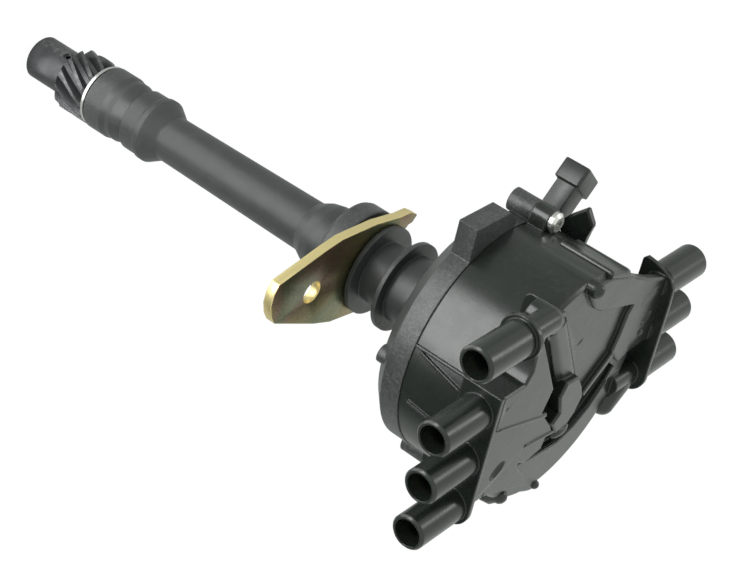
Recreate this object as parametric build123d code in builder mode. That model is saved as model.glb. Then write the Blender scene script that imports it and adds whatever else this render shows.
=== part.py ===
"""Ignition distributor for a V6 engine: gear-driven shaft, cast housing, crab cap and cam sensor.

Frame: +Z runs up the shaft towards the cap, the origin is the centre of the flange seat that
meets the engine block.  +X points to the side of the cap with four towers, -Y to the coil tower.
Units are millimetres.
"""
from build123d import *
from math import atan, cos, degrees, hypot, radians, sin
import os

os.makedirs("parts", exist_ok=True)

# ---------------------------------------------------------------- driving dimensions
EDGE_BREAK = 0.6                  # small bevel on turned and cast edges
SLIP = 0.3                        # clearance between fixed pieces that slide together
RUNNING_CLEARANCE = 0.03          # radial, shaft in its bushings
SEAL_CLEARANCE = 0.05             # radial, shaft in seal and washer
END_FLOAT = 0.15                  # each side of the thrust washer

# shaft line
SHAFT_D = 12.45
SHAFT_BOTTOM_Z = -200.0
SHAFT_TOP_Z = 104.0
DRIVE_SLOT_W = 6.5
DRIVE_SLOT_DEPTH = 7.0

# drive gear, crossed helical
GEAR_TEETH = 13
GEAR_TIP_D = 31.8
GEAR_ROOT_D = 24.4
GEAR_FACE = 20.5
GEAR_TWIST = 43.0                 # degrees of tooth turn over the face width
GEAR_EDGE_CHAMFER = 1.4
HUB_D = 22.0
HUB_LENGTH = 23.0
ROLL_PIN_D = 4.8
ROLL_PIN_WALL = 1.0
ROLL_PIN_SLIT = 0.8
ROLL_PIN_LENGTH = 20.0
ROLL_PIN_FROM_END = 19.5
ROLL_PIN_ANGLE = -78.0
WASHER_T = 1.5
WASHER_D = 31.0

# housing, from the gear end to the seam under the cap
LAND_D = 32.3                     # lower land, located by a 32.5 hole in the engine block
LAND_LENGTH = 11.5
LAND_CHAMFER = 1.2
LAND_NECK_D = 30.6
LAND_NECK_LENGTH = 6.0
OIL_GROOVE_D = 26.6
OIL_GROOVE_LENGTH = 7.0
UPPER_LAND_D = 31.0
UPPER_LAND_LENGTH = 10.0
LIP_D = 32.4
LIP_LENGTH = 2.5
LIP_CONE_LENGTH = 7.0
TUBE_LOW_D = 22.6
TUBE_HIGH_D = 24.6
COLLAR_D = 32.4                   # located by a 33 mm hole that the lip passes through
COLLAR_LENGTH = 10.5
FLARE_LENGTH = 10.5
FLANGE_D = 48.0
FLANGE_T = 9.0
CLAMP_SHOULDER_D = 42.0
CLAMP_SHOULDER_T = 3.2
SPOOL_D = 43.4
SPOOL_T = 2.3
SPOOL_1_Z = 17.7
SPOOL_2_Z = 33.1
NECK_D = 29.2
UPPER_NECK_D = 32.6
BASE_R = 56.0
BASE_WALL = 3.2
BASE_FLOOR_Z = 66.0
BASE_FLOOR_T = 4.0
BASE_CORNER = 6.0
SEAM_Z = 77.5
LUG_X = (-2.0, 27.0)
LUG_REACH = 9.0                   # past the base wall
LUG_HEIGHT = 9.5
VENT_INSET = 6.2                  # vent centre from the outside of the base wall
VENT_ANGLE = -4.0
VENT_D = 4.0
VENT_BOSS_D = 8.4
SCREEN_T = 0.6

# bushings and seal in the housing bore
BUSHING_D = 16.45
BUSHING_LENGTH = 26.0
LOWER_BUSHING_INSET = 1.0
UPPER_BUSHING_Z = 28.0
THROAT_D = 17.5
SEAL_D = 22.0
SEAL_DEPTH = 7.0

# flange gasket and hold-down bracket
GASKET_T = 0.8
GASKET_CLEARANCE = 1.0            # round the locating collar
BRACKET_T = 4.8
BRACKET_HOLE_D = 10.5
BRACKET_HOLE_X = 44.5
BRACKET_NOSE = 27.4               # from the hole to the nose
BRACKET_TURN = -6.5
FORK_CLEARANCE = 0.5
FORK_TIP_X = -22.3

# screws that hold the cap
SCREW_OUTSET = 4.0                # past the base wall
SCREW_ANGLE = -107.0
POST_D = 10.8
POST_LENGTH = 12.2
EAR_T = 8.5
CAP_SCREW_D = 4.8
CAP_SCREW_HOLE_D = 5.2
CAP_SCREW_HEAD_D = 9.6
CAP_SCREW_HEAD_T = 3.2
CAP_SCREW_LENGTH = 18.0
LOBE_R = 0.75
LOBE_RING_R = 1.5
LOBE_DEPTH = 1.8

# cap
CAP_INSET = 0.5                   # cap wall inside the base wall
CAP_WALL = 2.8
CAP_EDGE = 1.4
CAP_LIP_DEPTH = 3.0
CAP_LIP_T = 1.9
DECK_Z = 121.0
DECK_T = 6.0
LEFT_DUCT_HEIGHT = 7.7            # raised ducts over the deck
RIGHT_DUCT_HEIGHT = 2.3
STEP_DROP = 0.9
RECESS_DROP = 3.3
RIM_HEIGHT = 3.0
DUCT_EDGE = 0.8
DUCT_DEPTH = 11.0                 # blocks outside the wall reach this far below the deck
TOWER_D = 15.6
TOWER_MARGIN = 1.7                # of a tower plate round its towers
TOWER_BORE_D = 12.2
TOWER_BORE_DEPTH = 24.0
TOWER_MOUTH_CHAMFER = 0.9
TOWER_LENGTH = 28.4
TOWER_PITCH = 24.0
LEFT_ROW_Y = -18.5
RIGHT_ROW_Y = -26.0
COIL_TOWER_Y = -60.4
COIL_TOWER_RISE = 9.1             # over the other towers
PLATE_OUTSET = 9.5                # past the cap wall
PLATE_T = 2.0
COIL_RIB_R = 6.6
COIL_RIB_HEIGHT = 4.6             # coil duct over the deck
COIL_KNEE = (28.0, -46.0)         # where the coil duct turns towards its tower
COIL_ELBOW_X = 46.5
CONDUIT_R = 5.4

# current path inside the cap
ELECTRODE_INSET = 6.7             # from the inside of the cap wall
ELECTRODE_D = 5.0
ELECTRODE_BOTTOM_Z = 95.0
STRIP_W = 3.0
STRIP_T = 1.2
STRIP_INSET = 15.0                # end of the strip from the tower plate
COIL_STRIP_DEPTH = 3.6
TERMINAL_D = 6.5
TERMINAL_INSET = 10.0
BUTTON_D = 5.0
BUTTON_BOTTOM_Z = 110.0
BUTTON_LENGTH = 8.0

# rotor, shutter wheel and cam sensor
ROTOR_R = 30.0
ROTOR_Z = 93.5
ROTOR_T = 4.5
ROTOR_HUB_R = 9.5
ROTOR_ARM_W = 18.0
SPARK_GAP = 0.6
CONTACT_W = 8.0
CONTACT_T = 1.5
LEAF_T = 0.8
BRUSH_GAP = 0.3
ROTOR_SCREW_R = 18.0
ROTOR_SCREW_D = 3.5
ROTOR_SCREW_HEAD_D = 7.0
ROTOR_SCREW_HEAD_T = 2.2
ROTOR_SCREW_SLOT = 1.0
WHEEL_T = 1.5
WHEEL_R = 31.0
VANE_T = 1.2
VANE_DEPTH = 18.0
WHEEL_HUB_R = 10.0
WHEEL_HUB_LENGTH = 6.0
SENSOR_ANGLE = -133.4
SENSOR_W = 16.0
SENSOR_TOP_Z = 88.5
SENSOR_PLATE_T = 2.5
SENSOR_BRIDGE_T = 4.0
SENSOR_GAP = 2.0                  # each side of the vane
SENSOR_INNER_T = 3.8
SENSOR_OUTER_T = 4.4
SENSOR_WALL_GAP = 2.8
SENSOR_SCREW_INSET = 7.0
SENSOR_SCREW_SIDE = 9.5
SENSOR_SCREW_D = 3.5
SENSOR_SCREW_HEAD_D = 6.4
SENSOR_SCREW_HEAD_T = 2.0
SENSOR_SCREW_BITE = 3.2

# sensor connector, a rectangular socket that points out of the base wall
NECK_W = 13.4
NECK_H = 9.6
NECK_TOP_Z = 77.2
NECK_LENGTH = 19.0                # past the base wall
SOCKET_LENGTH = 9.6
SOCKET_W = 16.6
SOCKET_H = 13.0
SOCKET_WALL = 1.5
SOCKET_DEPTH = 16.0
PIN_COUNT = 3
PIN_PITCH = 3.0
PIN_SIZE = (1.4, 0.7)
PIN_LENGTH = 12.0


def save(part, label):
    """Label a finished piece and write it to its own STEP file."""
    part.label = label
    export_step(part, f"parts/{label}.step")


def polar(radius, angle):
    """X and Y of a point at a radius and an angle in degrees."""
    return radius * cos(radians(angle)), radius * sin(radians(angle))


def turned(angle, z):
    """Horizontal plane at height z whose local X runs outward at the angle."""
    return Plane(origin=(0, 0, z), x_dir=(*polar(1, angle), 0), z_dir=(0, 0, 1))


def along_x(side, x, y, z):
    """Place whose local Z runs outward along X on the given side (+1 or -1)."""
    return Location((side * x, y, z), (0, side * 90, 0))


UP = (Align.CENTER, Align.CENTER, Align.MIN)
DOWN = (Align.CENTER, Align.CENTER, Align.MAX)

# ---------------------------------------------------------------- heights and places that follow from the sizes
GEAR_BOTTOM_Z = SHAFT_BOTTOM_Z + HUB_LENGTH
WASHER_BOTTOM_Z = GEAR_BOTTOM_Z + GEAR_FACE + END_FLOAT
LOWER_END_Z = WASHER_BOTTOM_Z + WASHER_T + END_FLOAT
LAND_TOP_Z = LOWER_END_Z + LAND_LENGTH
GROOVE_BOTTOM_Z = LAND_TOP_Z + LAND_NECK_LENGTH
GROOVE_TOP_Z = GROOVE_BOTTOM_Z + OIL_GROOVE_LENGTH
LIP_BOTTOM_Z = GROOVE_TOP_Z + UPPER_LAND_LENGTH
CONE_BOTTOM_Z = LIP_BOTTOM_Z + LIP_LENGTH
TUBE_BOTTOM_Z = CONE_BOTTOM_Z + LIP_CONE_LENGTH
SEAT_SHOULDER_Z = FLANGE_T + CLAMP_SHOULDER_T
BASE_BOTTOM_Z = BASE_FLOOR_Z - BASE_FLOOR_T
BASE_INNER_R = BASE_R - BASE_WALL
LOWER_BUSHING_Z = LOWER_END_Z + LOWER_BUSHING_INSET
LOWER_BUSHING_TOP_Z = LOWER_BUSHING_Z + BUSHING_LENGTH
CAP_R = BASE_R - CAP_INSET
CAVITY_R = CAP_R - CAP_WALL
CAVITY_TOP_Z = DECK_Z - DECK_T
LEFT_TOP_Z = DECK_Z + LEFT_DUCT_HEIGHT
RIGHT_TOP_Z = DECK_Z + RIGHT_DUCT_HEIGHT
STEP_Z = LEFT_TOP_Z - STEP_DROP
RECESS_Z = LEFT_TOP_Z - RECESS_DROP
RIM_Z = DECK_Z + RIM_HEIGHT
BLOCK_BOTTOM_Z = DECK_Z - DUCT_DEPTH
PLATE_X = CAP_R + PLATE_OUTSET
TOWER_BASE_X = PLATE_X + PLATE_T / 2
PLATE_INNER_X = PLATE_X - PLATE_T / 2
PLATE_R = TOWER_D / 2 + TOWER_MARGIN
TOWER_REACH = TOWER_BASE_X + TOWER_LENGTH
TOWER_Z = LEFT_TOP_Z - PLATE_R
COIL_TOWER_Z = TOWER_Z + COIL_TOWER_RISE
COIL_RIB_TOP_Z = DECK_Z + COIL_RIB_HEIGHT
COIL_STRIP_Z = COIL_RIB_TOP_Z - COIL_STRIP_DEPTH
LEFT_TOWERS = [LEFT_ROW_Y + i * TOWER_PITCH for i in range(3)]
RIGHT_TOWERS = [RIGHT_ROW_Y + i * TOWER_PITCH for i in range(3)]
ELECTRODE_R = CAVITY_R - ELECTRODE_INSET
STRIP_REACH = PLATE_X - STRIP_INSET
ROTOR_TOP_Z = ROTOR_Z + ROTOR_T
ROTOR_TIP_R = ELECTRODE_R - ELECTRODE_D / 2 - SPARK_GAP - EDGE_BREAK
WHEEL_BOTTOM_Z = ROTOR_Z - WHEEL_T
SENSOR_INNER_END = WHEEL_R - VANE_T - SENSOR_GAP
SENSOR_OUTER_START = WHEEL_R + SENSOR_GAP
SENSOR_INNER_R = (SENSOR_INNER_END - SENSOR_INNER_T, SENSOR_INNER_END)
SENSOR_OUTER_R = (SENSOR_OUTER_START, SENSOR_OUTER_START + SENSOR_OUTER_T)
SENSOR_PLATE_R = BASE_INNER_R - SENSOR_WALL_GAP
SENSOR_SCREW_R = SENSOR_PLATE_R - SENSOR_SCREW_INSET
SOCKET_START_R = BASE_R + NECK_LENGTH
SOCKET_END_R = SOCKET_START_R + SOCKET_LENGTH
SCREW_R = BASE_R + SCREW_OUTSET
VENT_R = BASE_R - VENT_INSET
LUG_Y = -BASE_R - LUG_REACH
SCREW_POINTS = [polar(SCREW_R, SCREW_ANGLE), polar(SCREW_R, SCREW_ANGLE + 180)]
VENT_POINTS = [polar(VENT_R, VENT_ANGLE), polar(VENT_R, VENT_ANGLE + 180)]

# ---------------------------------------------------------------- housing
with BuildPart() as housing:
    with BuildSketch(Plane.XZ) as profile:
        with BuildLine():
            Polyline(
                (0, LOWER_END_Z),
                (LAND_D / 2 - LAND_CHAMFER, LOWER_END_Z),
                (LAND_D / 2, LOWER_END_Z + LAND_CHAMFER),
                (LAND_D / 2, LAND_TOP_Z),
                (LAND_NECK_D / 2, LAND_TOP_Z + LAND_NECK_LENGTH / 2),
                (LAND_NECK_D / 2, GROOVE_BOTTOM_Z),
                (OIL_GROOVE_D / 2, GROOVE_TOP_Z - EDGE_BREAK),
                (UPPER_LAND_D / 2 - EDGE_BREAK, GROOVE_TOP_Z),
                (UPPER_LAND_D / 2, GROOVE_TOP_Z + EDGE_BREAK),
                (UPPER_LAND_D / 2, LIP_BOTTOM_Z - 2 * EDGE_BREAK),
                (LIP_D / 2, LIP_BOTTOM_Z),
                (LIP_D / 2, CONE_BOTTOM_Z),
                (TUBE_LOW_D / 2 + EDGE_BREAK, TUBE_BOTTOM_Z),
                (TUBE_LOW_D / 2, TUBE_BOTTOM_Z + 2 * EDGE_BREAK),
                (TUBE_HIGH_D / 2, -COLLAR_LENGTH - FLARE_LENGTH),
                (COLLAR_D / 2 - 2 * EDGE_BREAK, -COLLAR_LENGTH - FLARE_LENGTH / 2),
                (COLLAR_D / 2, -COLLAR_LENGTH),
                (COLLAR_D / 2, 0),
                (FLANGE_D / 2 - EDGE_BREAK, 0),
                (FLANGE_D / 2, EDGE_BREAK),
                (FLANGE_D / 2, FLANGE_T - EDGE_BREAK),
                (FLANGE_D / 2 - EDGE_BREAK, FLANGE_T),
                (CLAMP_SHOULDER_D / 2, FLANGE_T),
                (CLAMP_SHOULDER_D / 2, SEAT_SHOULDER_Z),
                (NECK_D / 2, SEAT_SHOULDER_Z),
                (NECK_D / 2, SPOOL_1_Z),
                (SPOOL_D / 2, SPOOL_1_Z),
                (SPOOL_D / 2, SPOOL_1_Z + SPOOL_T),
                (NECK_D / 2, SPOOL_1_Z + SPOOL_T),
                (NECK_D / 2, SPOOL_2_Z),
                (SPOOL_D / 2, SPOOL_2_Z),
                (SPOOL_D / 2, SPOOL_2_Z + SPOOL_T),
                (UPPER_NECK_D / 2, SPOOL_2_Z + SPOOL_T),
                (UPPER_NECK_D / 2, BASE_BOTTOM_Z - BASE_CORNER),
                (UPPER_NECK_D / 2 + BASE_CORNER, BASE_BOTTOM_Z),
                (BASE_R - BASE_CORNER, BASE_BOTTOM_Z),
                (BASE_R, BASE_BOTTOM_Z + BASE_CORNER),
                (BASE_R, SEAM_Z),
                (0, SEAM_Z),
                close=True,
            )
        make_face()
    revolve(axis=Axis.Z)
    # posts for the cap screws, bosses round the vents, lug on the outside of the wall
    with Locations(*[(x, y, SEAM_Z) for x, y in SCREW_POINTS]):
        Cylinder(POST_D / 2, POST_LENGTH, align=DOWN)
    with Locations(*[(x, y, BASE_BOTTOM_Z - EDGE_BREAK) for x, y in VENT_POINTS]):
        Cylinder(VENT_BOSS_D / 2, BASE_CORNER, align=UP)
    with BuildSketch(Plane.XY.offset(SEAM_Z)):
        with BuildLine():
            Polyline(
                (LUG_X[0], 0),
                (LUG_X[0], LUG_Y + BASE_CORNER),
                (LUG_X[0] + BASE_CORNER, LUG_Y),
                (LUG_X[1], LUG_Y),
                (LUG_X[1], 0),
                close=True,
            )
        make_face()
    extrude(amount=-LUG_HEIGHT)
    # hollow of the base, stepped bore for bushings and seal
    with Locations((0, 0, BASE_FLOOR_Z)):
        Cylinder(BASE_INNER_R, SEAM_Z - BASE_FLOOR_Z, align=UP, mode=Mode.SUBTRACT)
        Cylinder(SEAL_D / 2, SEAL_DEPTH, align=DOWN, mode=Mode.SUBTRACT)
    with Locations((0, 0, LOWER_END_Z)):
        Cylinder(BUSHING_D / 2, BASE_FLOOR_Z - LOWER_END_Z, align=UP, mode=Mode.SUBTRACT)
    with Locations((0, 0, LOWER_BUSHING_TOP_Z)):
        Cylinder(THROAT_D / 2, UPPER_BUSHING_Z - LOWER_BUSHING_TOP_Z, align=UP, mode=Mode.SUBTRACT)
    # screw holes and vents
    with Locations(*[(x, y, SEAM_Z) for x, y in SCREW_POINTS]):
        Cylinder(CAP_SCREW_D / 2, CAP_SCREW_LENGTH - EAR_T, align=DOWN, mode=Mode.SUBTRACT)
    with Locations(*[(x, y, BASE_FLOOR_Z) for x, y in VENT_POINTS]):
        Cylinder(VENT_D / 2, BASE_CORNER, align=DOWN, mode=Mode.SUBTRACT)
    with Locations(turned(SENSOR_ANGLE, BASE_FLOOR_Z)):
        with Locations((SENSOR_SCREW_R, SENSOR_SCREW_SIDE), (SENSOR_SCREW_R, -SENSOR_SCREW_SIDE)):
            Cylinder(SENSOR_SCREW_D / 2, SENSOR_SCREW_BITE, align=DOWN, mode=Mode.SUBTRACT)
    # window for the connector neck, open at the seam
    with Locations(turned(SENSOR_ANGLE, NECK_TOP_Z - NECK_H)):
        with Locations((BASE_R, 0)):
            Box(3 * BASE_WALL, NECK_W, NECK_H + BASE_WALL, align=UP, mode=Mode.SUBTRACT)
save(housing.part, "distributor_housing")

with BuildPart() as screens:
    with Locations(*[(x, y, BASE_FLOOR_Z - BASE_FLOOR_T / 2) for x, y in VENT_POINTS]):
        Cylinder(VENT_D / 2, SCREEN_T)
        with GridLocations(VENT_D / 4, VENT_D / 4, 3, 3):
            Box(VENT_D / 8, VENT_D / 8, 2 * SCREEN_T, mode=Mode.SUBTRACT)
save(screens.part, "vent_screens")

# ---------------------------------------------------------------- bushings, seal and washer
for label, bottom_z in (("lower_bushing", LOWER_BUSHING_Z), ("upper_bushing", UPPER_BUSHING_Z)):
    with BuildPart() as bushing:
        with Locations((0, 0, bottom_z)):
            Cylinder(BUSHING_D / 2, BUSHING_LENGTH, align=UP)
            Cylinder(SHAFT_D / 2 + RUNNING_CLEARANCE, BUSHING_LENGTH, align=UP, mode=Mode.SUBTRACT)
    save(bushing.part, label)

SEAL_BORE_R = SHAFT_D / 2 + SEAL_CLEARANCE
SEAL_BOTTOM_Z = BASE_FLOOR_Z - SEAL_DEPTH
SEAL_SECTION = (SEAL_D / 2 - SEAL_BORE_R) / 3
with BuildPart() as seal:
    with BuildSketch(Plane.XZ):
        with BuildLine():
            Polyline(
                (SEAL_BORE_R + SEAL_SECTION, SEAL_BOTTOM_Z),
                (SEAL_D / 2, SEAL_BOTTOM_Z),
                (SEAL_D / 2, BASE_FLOOR_Z),
                (SEAL_D / 2 - SEAL_SECTION, BASE_FLOOR_Z),
                (SEAL_D / 2 - SEAL_SECTION, SEAL_BOTTOM_Z + SEAL_DEPTH * 0.3),
                (SEAL_BORE_R + SEAL_SECTION, SEAL_BOTTOM_Z + SEAL_DEPTH * 0.65),
                (SEAL_BORE_R, SEAL_BOTTOM_Z + SEAL_DEPTH * 0.55),
                close=True,
            )
        make_face()
    revolve(axis=Axis.Z)
save(seal.part, "shaft_seal")

with BuildPart() as washer:
    with Locations((0, 0, WASHER_BOTTOM_Z)):
        Cylinder(WASHER_D / 2, WASHER_T, align=UP)
        Cylinder(SHAFT_D / 2 + SEAL_CLEARANCE, WASHER_T, align=UP, mode=Mode.SUBTRACT)
save(washer.part, "thrust_washer")

# ---------------------------------------------------------------- shaft, drive gear and roll pin
PIN_PLACE = Plane(
    origin=(0, 0, SHAFT_BOTTOM_Z + ROLL_PIN_FROM_END),
    x_dir=(0, 0, 1),
    z_dir=(*polar(1, ROLL_PIN_ANGLE), 0),
)
with BuildPart() as shaft:
    with Locations((0, 0, SHAFT_BOTTOM_Z)):
        Cylinder(SHAFT_D / 2, SHAFT_TOP_Z - SHAFT_BOTTOM_Z, align=UP)
    chamfer(shaft.edges().filter_by(GeomType.CIRCLE), EDGE_BREAK)
    with Locations((0, 0, SHAFT_BOTTOM_Z)):
        Box(DRIVE_SLOT_W, SHAFT_D + 1, DRIVE_SLOT_DEPTH, align=UP, mode=Mode.SUBTRACT)
    with Locations(PIN_PLACE):
        Cylinder(ROLL_PIN_D / 2, HUB_D, mode=Mode.SUBTRACT)
save(shaft.part, "main_shaft")

# the gap between two teeth is a tapered section that turns as it rises past both end faces
TOOTH_STEP = 360 / GEAR_TEETH
GAP_ROOT_HALF = TOOTH_STEP * 0.19
GAP_TIP_HALF = TOOTH_STEP * 0.41
CUTTER_OVERRUN = 1.0
CUTTER_R = GEAR_TIP_D / 2 + CUTTER_OVERRUN
CUTTER_LENGTH = GEAR_FACE + 2 * CUTTER_OVERRUN
with BuildSketch(Plane.XY.offset(GEAR_BOTTOM_Z - CUTTER_OVERRUN)) as gap:
    with BuildLine():
        Polyline(
            polar(GEAR_ROOT_D / 2, -GAP_ROOT_HALF),
            polar(CUTTER_R, -GAP_TIP_HALF),
            polar(CUTTER_R, GAP_TIP_HALF),
            polar(GEAR_ROOT_D / 2, GAP_ROOT_HALF),
            close=True,
        )
    make_face()
gap_cutter = Solid.extrude_linear_with_rotation(
    gap.sketch.face(),
    (0, 0, GEAR_BOTTOM_Z - CUTTER_OVERRUN),
    (0, 0, CUTTER_LENGTH),
    GEAR_TWIST * CUTTER_LENGTH / GEAR_FACE,
)
with BuildPart() as gear:
    with BuildSketch(Plane.XZ):
        with BuildLine():
            Polyline(
                (0, GEAR_BOTTOM_Z),
                (GEAR_ROOT_D / 2 + EDGE_BREAK, GEAR_BOTTOM_Z),
                (GEAR_TIP_D / 2, GEAR_BOTTOM_Z + 2 * GEAR_EDGE_CHAMFER),
                (GEAR_TIP_D / 2, GEAR_BOTTOM_Z + GEAR_FACE - GEAR_EDGE_CHAMFER),
                (GEAR_TIP_D / 2 - GEAR_EDGE_CHAMFER, GEAR_BOTTOM_Z + GEAR_FACE),
                (0, GEAR_BOTTOM_Z + GEAR_FACE),
                close=True,
            )
        make_face()
    revolve(axis=Axis.Z)
    with PolarLocations(0, GEAR_TEETH):
        add(gap_cutter, mode=Mode.SUBTRACT)
    with Locations((0, 0, SHAFT_BOTTOM_Z)):
        Cylinder(HUB_D / 2, HUB_LENGTH + EDGE_BREAK, align=UP)
    chamfer(gear.edges().filter_by(GeomType.CIRCLE).sort_by(Axis.Z)[0], EDGE_BREAK)
    with Locations((0, 0, SHAFT_BOTTOM_Z)):
        Cylinder(SHAFT_D / 2, HUB_LENGTH + GEAR_FACE, align=UP, mode=Mode.SUBTRACT)
    with Locations(PIN_PLACE):
        Cylinder(ROLL_PIN_D / 2, GEAR_TIP_D, mode=Mode.SUBTRACT)
save(gear.part, "drive_gear")

with BuildPart() as roll_pin:
    with Locations(PIN_PLACE):
        Cylinder(ROLL_PIN_D / 2, ROLL_PIN_LENGTH)
        Cylinder(ROLL_PIN_D / 2 - ROLL_PIN_WALL, ROLL_PIN_LENGTH, mode=Mode.SUBTRACT)
        with Locations((ROLL_PIN_D / 2, 0, 0)):
            Box(ROLL_PIN_D, ROLL_PIN_SLIT, ROLL_PIN_LENGTH, mode=Mode.SUBTRACT)
save(roll_pin.part, "gear_roll_pin")

# ---------------------------------------------------------------- flange gasket and hold-down bracket
with BuildPart() as gasket:
    with BuildSketch():
        Circle(FLANGE_D / 2 - EDGE_BREAK)
        Circle(COLLAR_D / 2 + GASKET_CLEARANCE, mode=Mode.SUBTRACT)
    extrude(amount=-GASKET_T)
save(gasket.part, "flange_gasket")

NOSE_X = BRACKET_HOLE_X + BRACKET_NOSE
FORK_HALF = NECK_D / 2 + FORK_CLEARANCE
BRACKET_OUTLINE = [
    (NOSE_X, -0.7), (NOSE_X, -6.7), (NOSE_X - 1.7, -11.1), (42.1, -20.4), (32.2, -23.2), (9.0, -24.8),
    (-9.3, -23.8), (FORK_TIP_X + 5.5, -24.3), (FORK_TIP_X, -21.8), (FORK_TIP_X + 2.3, -FORK_HALF - 3.2),
    (FORK_TIP_X + 5.1, -FORK_HALF - 2.5), (FORK_TIP_X + 7.0, -FORK_HALF), (FORK_TIP_X + 7.0, FORK_HALF),
    (FORK_TIP_X + 2.3, FORK_HALF + 1.2), (FORK_TIP_X, 19.3), (FORK_TIP_X + 5.5, 21.8), (7.3, 21.8),
    (23.9, 21.4), (36.2, 18.6), (NOSE_X - 5.5, 9.1), (NOSE_X - 2.4, 5.0),
]
with BuildPart() as bracket:
    with BuildSketch(turned(BRACKET_TURN, SEAT_SHOULDER_Z)):
        with BuildLine():
            Polyline(*BRACKET_OUTLINE, close=True)
        make_face()
        Circle(FORK_HALF, mode=Mode.SUBTRACT)
        with Locations((FORK_TIP_X, 0)):
            Rectangle(-2 * FORK_TIP_X, 2 * FORK_HALF, mode=Mode.SUBTRACT)
        with Locations((BRACKET_HOLE_X, 0)):
            Circle(BRACKET_HOLE_D / 2, mode=Mode.SUBTRACT)
    extrude(amount=BRACKET_T)
save(bracket.part, "hold_down_bracket")

# ---------------------------------------------------------------- conductors moulded into the cap
PATHS = [
    (1, -60, LEFT_TOWERS[0]),
    (1, 0, LEFT_TOWERS[1]),
    (1, 60, LEFT_TOWERS[2]),
    (-1, -120, RIGHT_TOWERS[0]),
    (-1, 180, RIGHT_TOWERS[1]),
    (-1, 120, RIGHT_TOWERS[2]),
]
BORE_FLOOR_X = TOWER_REACH - TOWER_BORE_DEPTH
TERMINAL_LENGTH = TOWER_BORE_DEPTH - TERMINAL_INSET
STRIP_BOTTOM_Z = TOWER_Z - STRIP_T / 2


def strip_outline(start, end):
    """Four corners of a flat strip between two points, with square ends half a width past them."""
    length = hypot(end[0] - start[0], end[1] - start[1])
    ux, uy = (end[0] - start[0]) / length, (end[1] - start[1]) / length
    half = STRIP_W / 2
    corners = []
    for (x, y), way in ((start, -1), (end, 1)):
        for turn in (way, -way):
            corners.append((x + half * (way * ux - turn * uy), y + half * (way * uy + turn * ux)))
    return corners


with BuildPart() as conductors:
    for side, angle, tower_y in PATHS:
        electrode = polar(ELECTRODE_R, angle)
        with Locations((*electrode, ELECTRODE_BOTTOM_Z)):
            Cylinder(ELECTRODE_D / 2, TOWER_Z - ELECTRODE_BOTTOM_Z, align=UP)
        with BuildSketch(Plane.XY.offset(STRIP_BOTTOM_Z)):
            with BuildLine():
                Polyline(*strip_outline(electrode, (side * STRIP_REACH, tower_y)), close=True)
            make_face()
        extrude(amount=STRIP_T)
        with Locations(along_x(side, STRIP_REACH, tower_y, TOWER_Z)):
            Box(STRIP_W, STRIP_W, BORE_FLOOR_X - STRIP_REACH, align=UP)
        with Locations(along_x(side, BORE_FLOOR_X, tower_y, TOWER_Z)):
            Cylinder(TERMINAL_D / 2, TERMINAL_LENGTH, align=UP)
save(conductors.part, "plug_conductors")

COIL_ELBOW = (COIL_ELBOW_X, COIL_TOWER_Y)
with BuildPart() as coil_conductor:
    with Locations((0, 0, BUTTON_BOTTOM_Z + BUTTON_LENGTH)):
        Cylinder(STRIP_W / 2, COIL_STRIP_Z - BUTTON_BOTTOM_Z - BUTTON_LENGTH + STRIP_T, align=UP)
    with BuildSketch(Plane.XY.offset(COIL_STRIP_Z)):
        for start, end in (((0, 0), COIL_KNEE), (COIL_KNEE, COIL_ELBOW)):
            with BuildLine():
                Polyline(*strip_outline(start, end), close=True)
            make_face()
    extrude(amount=STRIP_T)
    with Locations((*COIL_ELBOW, COIL_STRIP_Z)):
        Cylinder(STRIP_W / 2, COIL_TOWER_Z - COIL_STRIP_Z + STRIP_W / 2, align=UP)
    with Locations(along_x(1, COIL_ELBOW_X, COIL_TOWER_Y, COIL_TOWER_Z)):
        Box(STRIP_W, STRIP_W, BORE_FLOOR_X - COIL_ELBOW_X, align=UP)
    with Locations(along_x(1, BORE_FLOOR_X, COIL_TOWER_Y, COIL_TOWER_Z)):
        Cylinder(TERMINAL_D / 2, TERMINAL_LENGTH, align=UP)
save(coil_conductor.part, "coil_conductor")

with BuildPart() as button:
    with Locations((0, 0, BUTTON_BOTTOM_Z)):
        Cylinder(BUTTON_D / 2, BUTTON_LENGTH, align=UP)
    chamfer(button.edges().filter_by(GeomType.CIRCLE).sort_by(Axis.Z)[0], BUTTON_D / 5)
save(button.part, "carbon_button")

# ---------------------------------------------------------------- cap
# outlines of the raised ducts on the deck, seen from above
CENTRE_BLOCK = [
    (12.8, -12.8), (3.9, -12.0), (-1.4, -5.2), (-5.0, 1.9), (-2.0, 9.8),
    (1.5, 13.8), (10.0, 15.4), (15.2, 8.0), (11.3, 3.9), (15.5, -5.9),
]
LEFT_BLOCK = [
    (PLATE_INNER_X, -30.0), (49.8, -30.0), (47.0, -35.0), (47.9, -42.4), (49.8, -50.0), (51.0, -57.0),
    (42.5, -57.0), (44.8, -49.3), (24.1, -16.0), (27.6, -5.1), (23.7, -0.9), (PLATE_INNER_X, -12.8),
]
LEFT_STEP = [
    (PLATE_INNER_X, -12.8), (23.7, -0.9), (15.2, 8.0), (9.9, 15.4), (33.2, 12.1), (33.5, 21.2),
    (26.5, 29.0), (19.5, 39.5), (43.6, 30.2), (PLATE_INNER_X, 23.5),
]
LEFT_RECESS = [(34.0, 11.4), (9.8, 15.1), (11.8, 25.0), (24.0, 27.0), (34.3, 21.8)]
RIGHT_BLOCK = [
    (-15.2, -41.5), (-38.0, -27.3), (-35.9, -23.4), (-34.5, -13.3), (-32.3, -5.2), (-41.7, 4.7),
    (-44.5, 3.8), (-54.0, 1.5), (-PLATE_INNER_X, 2.6), (-PLATE_INNER_X, -31.4), (-47.0, -37.5), (-32.7, -44.5),
]
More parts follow.
